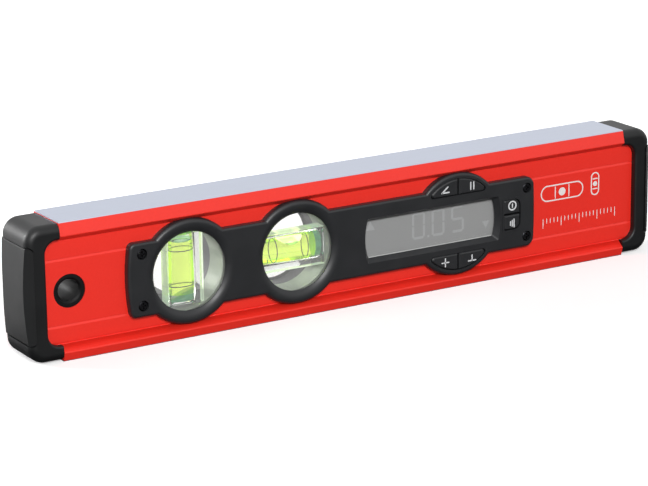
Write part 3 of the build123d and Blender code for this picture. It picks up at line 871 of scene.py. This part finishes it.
    @staticmethod
    def join(name: str, parts: List[bpy.types.Object]) -> bpy.types.Object:
        """Join plates into one piece.

        Args:
            name: the piece's name.
            parts: the plates.

        Returns:
            The piece.
        """
        Bench.take(parts[0])
        for part in parts[1:]:
            part.select_set(True)
        if len(parts) > 1:
            bpy.ops.object.join()
        return Bench.settle(name)


def paint(node: str, material: bpy.types.Material) -> None:
    """Give a CAD node a finish.

    Args:
        node: the node's name.
        material: the finish.
    """
    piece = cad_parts[node]
    if not piece.material_slots:
        piece.data.materials.append(material)
    for slot in piece.material_slots:
        slot.material = material
    LOG.info("painted %s with %s", node, material.name)


def add_piece(piece: bpy.types.Object, body: str, material: bpy.types.Material) -> None:
    """Give a new piece its finish and the body that it rides on.

    Args:
        piece: the new piece.
        body: the CAD body.
        material: the finish.
    """
    piece.data.materials.clear()
    piece.data.materials.append(material)
    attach(piece, body)
    LOG.info("added %s on %s", piece.name, body)


@dataclass
class Casing:
    """The profile, end caps, bumpers, bush and the two moulded housings."""

    coat: CoatedAluminium = CoatedAluminium(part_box("body_profile")[1][2])
    cap: MouldedPlastic = MouldedPlastic("cap_plastic_black", srgb(13, 14, 15), srgb(19, 20, 21), 0.46, 0.36)
    bumper: MouldedPlastic = MouldedPlastic(
        "bumper_rubber_black", srgb(15, 16, 17), srgb(21, 22, 23), 0.52, 0.36
    )
    bush: MouldedPlastic = MouldedPlastic("bush_plastic_black", srgb(7, 7, 8), srgb(11, 11, 12), 0.5, 0.25)
    housing: MouldedPlastic = MouldedPlastic(
        "housing_plastic_black", srgb(29, 30, 32), srgb(39, 40, 42), 0.42, 0.45
    )
    screw: BrushedMetal = BrushedMetal("blackened_screw", srgb(70, 70, 74), srgb(48, 48, 52))

    def dress(self) -> None:
        """Paint the outer pieces."""
        paint("body_profile", self.coat.material())
        cap = self.cap.material()
        bumper = self.bumper.material()
        for side in ("left", "right"):
            paint(side + "_end_cap", cap)
            paint(side + "_bumper", bumper)
        paint("hang_hole_bush", self.bush.material())
        housing = self.housing.material()
        for node in ("front_housing", "rear_housing", "battery_door"):
            paint(node, housing)
        screw = self.screw.material()
        paint("housing_screws", screw)
        paint("board_screws", screw)


@dataclass
class Vials:
    """The two bubble vials with their windows."""

    back_radius: float = 5.3 * MM
    block_edge: float = 0.25 * MM
    fluid_edge: float = 0.15 * MM
    plug_slant: float = math.radians(22)
    plug_rise: float = 1.6 * MM
    cup_wall_share: float = 0.934
    along: Dict[Vial, Vector] = field(
        default_factory=lambda: {Vial.PLUMB: Vector((0, 0, 1)), Vial.LEVEL: Vector((1, 0, 0))}
    )
    bubble_glow: Dict[Vial, float] = field(default_factory=lambda: {Vial.PLUMB: 0.0, Vial.LEVEL: 1.0})
    disc: ThinPane = ThinPane("window_disc_clear")
    fluid: VialFluid = VialFluid()
    line: PrintedInk = PrintedInk("vial_line_black", srgb(16, 16, 16), srgb(26, 26, 26))
    plug: MouldedPlastic = MouldedPlastic("vial_plug_green", srgb(44, 132, 84), srgb(64, 156, 100), 0.3)

    def build(self) -> None:
        """Model the clear bars, the level fluid and the plumb plug, then dress both vials."""
        disc = self.disc.material()
        fluid = self.fluid.material()
        line = self.line.material()
        plug = self.plug.material()
        for vial in Vial:
            start = vial.value
            bar = self.bar(vial)
            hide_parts(start + "_vial_block")
            add_piece(bar, ROOT_BODY, self.bar_finish(vial).material())
            paint(start + "_vial_bubble", self.air_finish(vial).material())
            paint(start + "_vial_lines", line)
            paint(start + "_rear_window", disc)
            self.dress_cup(vial)
        paint("plumb_vial_fluid", fluid)
        paint("level_vial_plug", plug)
        seal = self.slanted_plug()
        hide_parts("plumb_vial_plug")
        add_piece(seal, ROOT_BODY, plug)
        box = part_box("level_vial_fluid")
        filling = Bench.rod("level_vial_filling", *box, self.along[Vial.LEVEL], self.fluid_edge)
        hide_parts("level_vial_fluid")
        add_piece(filling, ROOT_BODY, fluid)

    @staticmethod
    def corners(node: str) -> Tuple[Vector, Vector]:
        """The lowest and highest corners of a node."""
        low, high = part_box(node)
        return Vector(low), Vector(high)

    def air_finish(self, vial: Vial) -> VialAir:
        """The finish of one vial's bubble, with its lower edge in place."""
        low, high = self.corners(vial.value + "_vial_bubble")
        return VialAir(vial.value + "_air_painted_light", low.z, high.z, self.bubble_glow[vial])

    def bar_finish(self, vial: Vial) -> VialBar:
        """The finish of one vial's bar, with its long side faces in place.

        Args:
            vial: the vial.

        Returns:
            The finish.
        """
        axis = 0 if vial is Vial.PLUMB else 2
        low, high = self.corners(vial.value + "_vial_block")
        return VialBar(vial.value + "_bar_clear", axis, low[axis], high[axis])

    def slanted_plug(self) -> bpy.types.Object:
        """Model the plug at the foot of the plumb vial, higher on its right side.

        Returns:
            The plug.
        """
        low, high = self.corners("plumb_vial_plug")
        middle = (low + high) / 2
        middle.z = high.z
        high.z += 2 * self.plug_rise
        plug = Bench.rod("plumb_vial_seal", low, high, self.along[Vial.PLUMB], self.fluid_edge)
        Bench.trim(plug, middle, Vector((math.sin(self.plug_slant), 0, -math.cos(self.plug_slant))))
        return plug

    def bar(self, vial: Vial) -> bpy.types.Object:
        """Model a vial's clear bar in one with the wet wall of its bore: a flat flange and a round back.

        Args:
            vial: the vial.

        Returns:
            The bar.
        """
        start = vial.value
        along = self.along[vial]
        low, high = self.corners(start + "_vial_block")
        axis_y = high.y - self.back_radius
        flange_high = Vector((high.x, axis_y, high.z))
        bar = Bench.bar(start + "_vial_bar", low, flange_high, self.block_edge)
        middle = (low + high) / 2
        middle.y = axis_y
        reach = Vector([self.back_radius] * 3)
        reach += along * ((high - low).dot(along) / 2 - self.back_radius - self.fluid_edge)
        back = Bench.rod(start + "_back", middle - reach, middle + reach, along, self.fluid_edge)
        Bench.trim(back, Vector((0, axis_y - self.block_edge, 0)), Vector((0, 1, 0)))
        Bench.unite(bar, back)
        return bar

    def dress_cup(self, vial: Vial) -> None:
        """Paint a window cup round its own middle.

        Args:
            vial: the vial.
        """
        start = vial.value
        low, high = self.corners(start + "_front_window")
        middle = (low + high) / 2
        wall = (high.x - low.x) / 2 * self.cup_wall_share
        cup = WindowCup(start + "_window_cup", centre=(middle.x, middle.z), wall_radius=wall)
        paint(start + "_front_window", cup.material())


@dataclass
class Display:
    """The lens, the display glass and the digits on it."""

    shown: str = "0.05"
    lit: Dict[str, str] = field(default_factory=lambda: {"0": "abcdef", "5": "acdfg"})
    digit_height: float = 9.45 * MM
    digit_width: float = 4.8 * MM
    digit_pitch: float = 8.7 * MM
    stroke: float = 0.55 * MM
    gap: float = 0.12 * MM
    first_x: float = 27.85 * MM
    digit_z: float = 25.6 * MM
    up_arrow: Point = (6.7 * MM, 28.15 * MM, 2.3 * MM)
    down_arrow: Point = (58.05 * MM, 21.9 * MM, 1.85 * MM)
    # Size and place of a pale strip painted as a highlight along the lens's lower edge.
    painted_highlight_height: float = 0.3 * MM
    painted_highlight_inset: float = 1.2 * MM
    lens: ThinPane = ThinPane("display_lens_clear")
    glass: DisplayGlass = DisplayGlass()
    # Pale ink of the painted highlight on the lens's lower edge.
    painted_highlight: PrintedInk = PrintedInk("display_painted_highlight_pale", srgb(206, 208, 206), srgb(190, 192, 190))
    ink: PrintedInk = PrintedInk("display_segments", srgb(176, 177, 178), srgb(170, 171, 172))

    def build(self) -> None:
        """Dress the display and model its digits, its arrows and a pale strip painted as a highlight along
        the lens's lower edge.
        """
        paint("display_window", self.lens.material())
        paint("lcd_panel", self.glass.material())
        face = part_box("lcd_panel")[0][1]
        ink = self.ink.material()
        add_piece(self.digits(face), ROOT_BODY, ink)
        add_piece(self.arrows(face), ROOT_BODY, ink)
        add_piece(self.lens_painted_highlight(), ROOT_BODY, self.painted_highlight.material())

    def digits(self, face: float) -> bpy.types.Object:
        """Model the shown number in seven-segment digits.

        Args:
            face: Y of the display glass's front.

        Returns:
            The digits as one piece.
        """
        parts: List[bpy.types.Object] = []
        x = self.first_x
        for sign in self.shown:
            if sign == ".":
                spot = (x - self.digit_pitch / 2, face, self.digit_z - self.digit_height / 2)
                parts.append(Bench.plate(Outline.DOT, self.stroke, spot))
                continue
            parts.extend(self.segment(name, x, face) for name in self.lit[sign])
            x += self.digit_pitch
        return Bench.join("display_digits", parts)

    def segment(self, name: str, x: float, face: float) -> bpy.types.Object:
        """Model one segment of a digit.

        Args:
            name: the segment's letter, a to g.
            x: the middle of the digit.
            face: Y of the display glass's front.

        Returns:
            The segment.
        """
        half = self.digit_height / 2
        side = self.digit_width / 2
        level = {"a": half, "g": 0.0, "d": -half}
        if name in level:
            spot = (x, face, self.digit_z + level[name])
            return Bench.plate(Outline.SEGMENT, self.stroke, spot, FLAT, side - self.stroke - self.gap)
        across = side if name in "bc" else -side
        up = half / 2 if name in "bf" else -half / 2
        spot = (x + across, face, self.digit_z + up)
        return Bench.plate(Outline.SEGMENT, self.stroke, spot, UPRIGHT, half / 2 - self.stroke - self.gap)

    def arrows(self, face: float) -> bpy.types.Object:
        """Model the up arrow at the left and the down arrow at the right of the display.

        Args:
            face: Y of the display glass's front.

        Returns:
            The arrows as one piece.
        """
        parts = []
        for (x, z, reach), turn in ((self.up_arrow, UPRIGHT), (self.down_arrow, math.pi)):
            parts.append(Bench.plate(Outline.ARROW, reach, (x, face, z), turn))
        return Bench.join("display_arrows", parts)

    def lens_painted_highlight(self) -> bpy.types.Object:
        """Model a pale strip along the lower edge of the lens: a painted highlight.

        Returns:
            The painted highlight.
        """
        low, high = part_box("display_window")
        bottom = low[2] + self.painted_highlight_inset - self.painted_highlight_height / 2
        painted_highlight_low = (low[0] + 2 * self.painted_highlight_inset, low[1] - PRINT_LIFT, bottom)
        painted_highlight_high = (high[0] - 2 * self.painted_highlight_inset, low[1], bottom + self.painted_highlight_height)
        return Bench.bar("display_lens_painted_highlight", painted_highlight_low, painted_highlight_high, PRINT_LIFT / 3)


@dataclass
class KeyPad:
    """The six keys and the signs on them.

    Each bar of a sign is given by how far its middle is across and up from the key's, by the half
    of its length, all in shares of the reach, and by its turn.
    """

    reach: float = 1.35 * MM
    stroke: float = 0.26 * MM
    ring_reach: float = 1.9 * MM
    lean: float = -0.9
    plastic: MouldedPlastic = MouldedPlastic("key_plastic_black", srgb(30, 31, 33), srgb(38, 39, 41), 0.42)
    ink: PrintedInk = PrintedInk("key_sign_white", srgb(226, 228, 230), srgb(208, 210, 212))

    def build(self) -> None:
        """Dress the keys and add a sign to each."""
        plastic = self.plastic.material()
        ink = self.ink.material()
        for key in KeySign:
            paint(key.value, plastic)
            sign = Bench.join(key.value + "_sign", self.sign(key))
            add_piece(sign, key.value, ink)

    def sign(self, key: KeySign) -> List[bpy.types.Object]:
        """Model the plates of one key's sign.

        Args:
            key: the key.

        Returns:
            The plates.
        """
        bars = {
            KeySign.MODE: [(0.0, -0.8, 1.2, FLAT), (-0.1, 0.0, 1.2, self.lean)],
            KeySign.HOLD: [(-0.5, 0.0, 1.0, UPRIGHT), (0.5, 0.0, 1.0, UPRIGHT)],
            KeySign.CALIBRATE: [(0.0, 0.0, 1.1, FLAT), (0.0, 0.0, 1.1, UPRIGHT)],
            KeySign.REFERENCE: [(0.0, -0.7, 1.2, FLAT), (0.0, 0.1, 0.8, UPRIGHT)],
            KeySign.POWER: [(0.0, 0.0, 0.5, UPRIGHT)],
            KeySign.BEEP: [(-0.6, 0.0, 0.5, UPRIGHT), (0.0, 0.0, 0.8, UPRIGHT), (0.6, 0.0, 1.1, UPRIGHT)],
        }
        low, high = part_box(key.value)
        middle_x = (low[0] + high[0]) / 2
        middle_z = (low[2] + high[2]) / 2
        plates = []
        for across, up, length, turn in bars[key]:
            spot = (middle_x + across * self.reach, low[1], middle_z + up * self.reach)
            plates.append(Bench.plate(Outline.BAR, self.stroke, spot, turn, length * self.reach))
        if key is KeySign.POWER:
            spot = (middle_x, low[1], middle_z)
            plates.append(Bench.plate(Outline.DISC, self.ring_reach, spot, wall=2 * self.stroke))
        return plates


@dataclass
class WebPrint:
    """Generic white print on the red web: a lying and a standing vial over a plain scale."""

    web_y: float = -8.1 * MM
    stroke: float = 0.5 * MM
    vial_reach: float = 3.2 * MM
    vial_stretch: float = 6.8 * MM
    lying: Tuple[float, float] = (93.0 * MM, 29.3 * MM)
    standing: Tuple[float, float] = (108.6 * MM, 30.1 * MM)
    standing_share: float = 0.62
    bubble_share: float = 0.5
    scale_start: Tuple[float, float] = (84.2 * MM, 19.4 * MM)
    scale_pitch: float = 1.7 * MM
    scale_marks: int = 21
    long_mark_every: int = 5
    short_mark_share: float = 0.5
    ink: PrintedInk = PrintedInk("web_print_white", srgb(240, 236, 234), srgb(228, 222, 220))

    def build(self) -> None:
        """Print the web."""
        parts = self.vial(self.lying, FLAT, 1.0)
        parts += self.vial(self.standing, UPRIGHT, self.standing_share)
        parts += self.scale()
        add_piece(Bench.join("web_print", parts), ROOT_BODY, self.ink.material())

    def vial(self, middle: Tuple[float, float], turn: float, share: float) -> List[bpy.types.Object]:
        """Model the plates of one vial sign: an outline, two marks and a bubble between them.

        Args:
            middle: X and Z of its middle.
            turn: its turn from upright.
            share: its width as a share of the large one's.

        Returns:
            The plates.
        """
        reach = self.vial_reach * share
        stretch = self.vial_stretch * share * share
        x, z = middle
        spot = (x, self.web_y, z)
        tube = Bench.plate(Outline.TUBE, reach, spot, turn, stretch, self.stroke)
        bubble = Bench.plate(Outline.DISC, reach * self.bubble_share, spot)
        plates = [tube, bubble]
        for side in (1, -1):
            shift = side * reach
            mark = (x - math.sin(turn) * shift, self.web_y, z + math.cos(turn) * shift)
            length = reach - 2 * self.stroke
            plates.append(Bench.plate(Outline.DOT, self.stroke / 2, mark, turn + FLAT, length))
        return plates

    def scale(self) -> List[bpy.types.Object]:
        """Model the plates of the plain scale.

        Returns:
            The plates.
        """
        x, z = self.scale_start
        plates = []
        for mark in range(self.scale_marks):
            share = self.short_mark_share if mark % self.long_mark_every else 1.0
            length = self.scale_pitch * share
            spot = (x + mark * self.scale_pitch, self.web_y, z - length)
            plates.append(Bench.plate(Outline.DOT, self.stroke / 3, spot, UPRIGHT, length))
        return plates


@dataclass
class Electronics:
    """The pieces inside the housings."""

    board: MouldedPlastic = MouldedPlastic(
        "board_green", srgb(22, 92, 52), srgb(30, 108, 62), 0.4, grain_size=0.6 * MM
    )
    chip: MouldedPlastic = MouldedPlastic("chip_black", srgb(24, 24, 25), srgb(32, 32, 33), 0.5)
    strip: MouldedPlastic = MouldedPlastic("strip_rubber", srgb(196, 150, 146), srgb(206, 160, 156), 0.6)
    cell: MouldedPlastic = MouldedPlastic("cell_jacket", srgb(46, 60, 84), srgb(54, 68, 92), 0.35)
    spring: BrushedMetal = BrushedMetal("contact_nickel", srgb(206, 204, 198), srgb(176, 174, 168))

    def dress(self) -> None:
        """Paint the inner pieces."""
        finishes = {
            self.board: ("circuit_board",),
            self.chip: ("controller_chip", "tilt_sensor", "buzzer"),
            self.strip: ("lcd_contact_strips",),
            self.cell: ("upper_battery", "lower_battery"),
            self.spring: ("key_switches", "battery_contacts"),
        }
        for finish, nodes in finishes.items():
            material = finish.material()
            for node in nodes:
                paint(node, material)


@dataclass
class Studio:
    """The floor, the lights, the white surroundings and the camera."""

    eye: Point = (-0.509053, -0.834639, 0.300165)
    eye_turn: Point = (74.09263, 0.69172, -31.14131)
    lens: float = 152.973
    sensor: float = 36.0
    nearest: float = 0.01
    floor_reach: float = 6.0
    floor_white: float = 0.98
    near_lift: float = 0.33
    far_lift: float = 0.46
    through_lift: float = 0.3
    floor_through: float = 0.82
    floor_bounce: float = 0.25
    floor_dim: float = 0.03
    floor_roughness: float = 0.9
    far_floor_y: float = 0.03
    far_floor_blur: float = 0.04
    fill: float = 0.18
    key_power: float = 37.0
    key_place: Point = (-0.67, -1.7, 1.0)
    key_size: float = 0.5
    side_power: float = 11.0
    side_place: Point = (-0.8, 0.7, 0.4)
    side_size: float = 0.4
    top_strength: float = 0.25
    top_spread: float = math.radians(60)

    def build(self) -> None:
        """Make the floor, the surroundings, the light and the camera."""
        self.make_floor()
        self.make_world()
        self.make_light()
        self.make_camera()

    def make_floor(self) -> None:
        """Lay a pale floor that glows a little, more behind the level than in front of it.

        Gloss shows the floor as bright behind the level and as dim in front of it.
        """
        Bench.clear()
        bpy.ops.mesh.primitive_plane_add(size=2 * self.floor_reach)
        floor = Bench.settle("studio_floor")
        graph = Skin("floor_white")
        path = graph.add("ShaderNodeLightPath")
        camera = path.outputs["Is Camera Ray"]
        gloss = path.outputs["Is Glossy Ray"]
        through = Field(graph, path.outputs["Is Transmission Ray"])
        _, y, _ = graph.axes()
        far = y.above(self.far_floor_y, self.far_floor_blur)
        behind = Field(graph, gloss) * far
        shade = graph.blend(gloss, self.grey(self.floor_bounce), self.grey(self.floor_dim))
        shade = graph.blend(behind.most(through), shade, self.grey(self.floor_through))
        shade = graph.blend(camera, shade, self.grey(self.floor_white))
        lift = graph.blend(far, self.grey(self.near_lift), self.grey(self.far_lift))
        lift = graph.blend(camera, BLACK, lift)
        lift = graph.blend(through, lift, self.grey(self.through_lift))
        graph.dress(
            Base_Color=shade,
            Roughness=self.floor_roughness,
            Emission_Color=lift,
            Emission_Strength=1.0,
        )
        floor.data.materials.append(graph.material)

    @staticmethod
    def grey(share: float) -> Colour:
        """A grey of the given brightness."""
        return share, share, share

    def make_world(self) -> None:
        """Surround the level with white that fills the shadows more weakly than it shows."""
        world = bpy.data.worlds.new("studio_white")
        bpy.context.scene.world = world
        world.use_nodes = True
        graph = Graph(world.node_tree)
        path = graph.add("ShaderNodeLightPath")
        light = Field(graph, path.outputs["Is Camera Ray"])
        for ray in ("Is Transmission Ray", "Is Glossy Ray"):
            light = light.most(Field(graph, path.outputs[ray]))
        light = light.most(self.fill)
        backdrop = graph.add("ShaderNodeBackground", None, {"Color": WHITE, "Strength": light})
        graph.add("ShaderNodeOutputWorld", None, {"Surface": backdrop.outputs[0]})

    def make_light(self) -> None:
        """Light the level from the upper left front, from the rear left and weakly from above."""
        key = self.panel("key_lamp", self.key_power, self.key_size)
        self.hang(key, Vector(self.key_place))
        side = self.panel("side_lamp", self.side_power, self.side_size)
        self.hang(side, Vector(self.side_place))
        top = bpy.data.lights.new("top_lamp", "SUN")
        top.energy = self.top_strength
        top.angle = self.top_spread
        self.hang(top, Vector((0, 0, 1)))

    @staticmethod
    def panel(name: str, power: float, size: float) -> bpy.types.Light:
        """Make a square lamp.

        Args:
            name: its name.
            power: its power in watts.
            size: the length of its side.

        Returns:
            The lamp.
        """
        lamp = bpy.data.lights.new(name, "AREA")
        lamp.energy = power
        lamp.size = size
        return lamp

    @staticmethod
    def hang(lamp: bpy.types.Light, place: Vector) -> None:
        """Hang a lamp and aim it at the level.

        Args:
            lamp: the lamp.
            place: where it hangs.
        """
        holder = bpy.data.objects.new(lamp.name, lamp)
        bpy.context.scene.collection.objects.link(holder)
        holder.location = place
        holder.rotation_euler = place.to_track_quat("Z", "Y").to_euler()

    def make_camera(self) -> None:
        """Stand the camera where the photograph was taken."""
        data = bpy.data.cameras.new("photo_camera")
        data.sensor_width = self.sensor
        data.lens = self.lens
        data.clip_start = self.nearest
        camera = bpy.data.objects.new("photo_camera", data)
        bpy.context.scene.collection.objects.link(camera)
        camera.location = self.eye
        camera.rotation_euler = Euler([math.radians(angle) for angle in self.eye_turn])
        bpy.context.scene.camera = camera


def main() -> None:
    """Build and dress the level in order."""
    logging.basicConfig(level=logging.INFO)
    bpy.context.scene.view_settings.view_transform = "Standard"
    Studio().build()
    Casing().dress()
    Vials().build()
    Display().build()
    KeyPad().build()
    WebPrint().build()
    Electronics().dress()


if __name__ == "__main__":
    main()
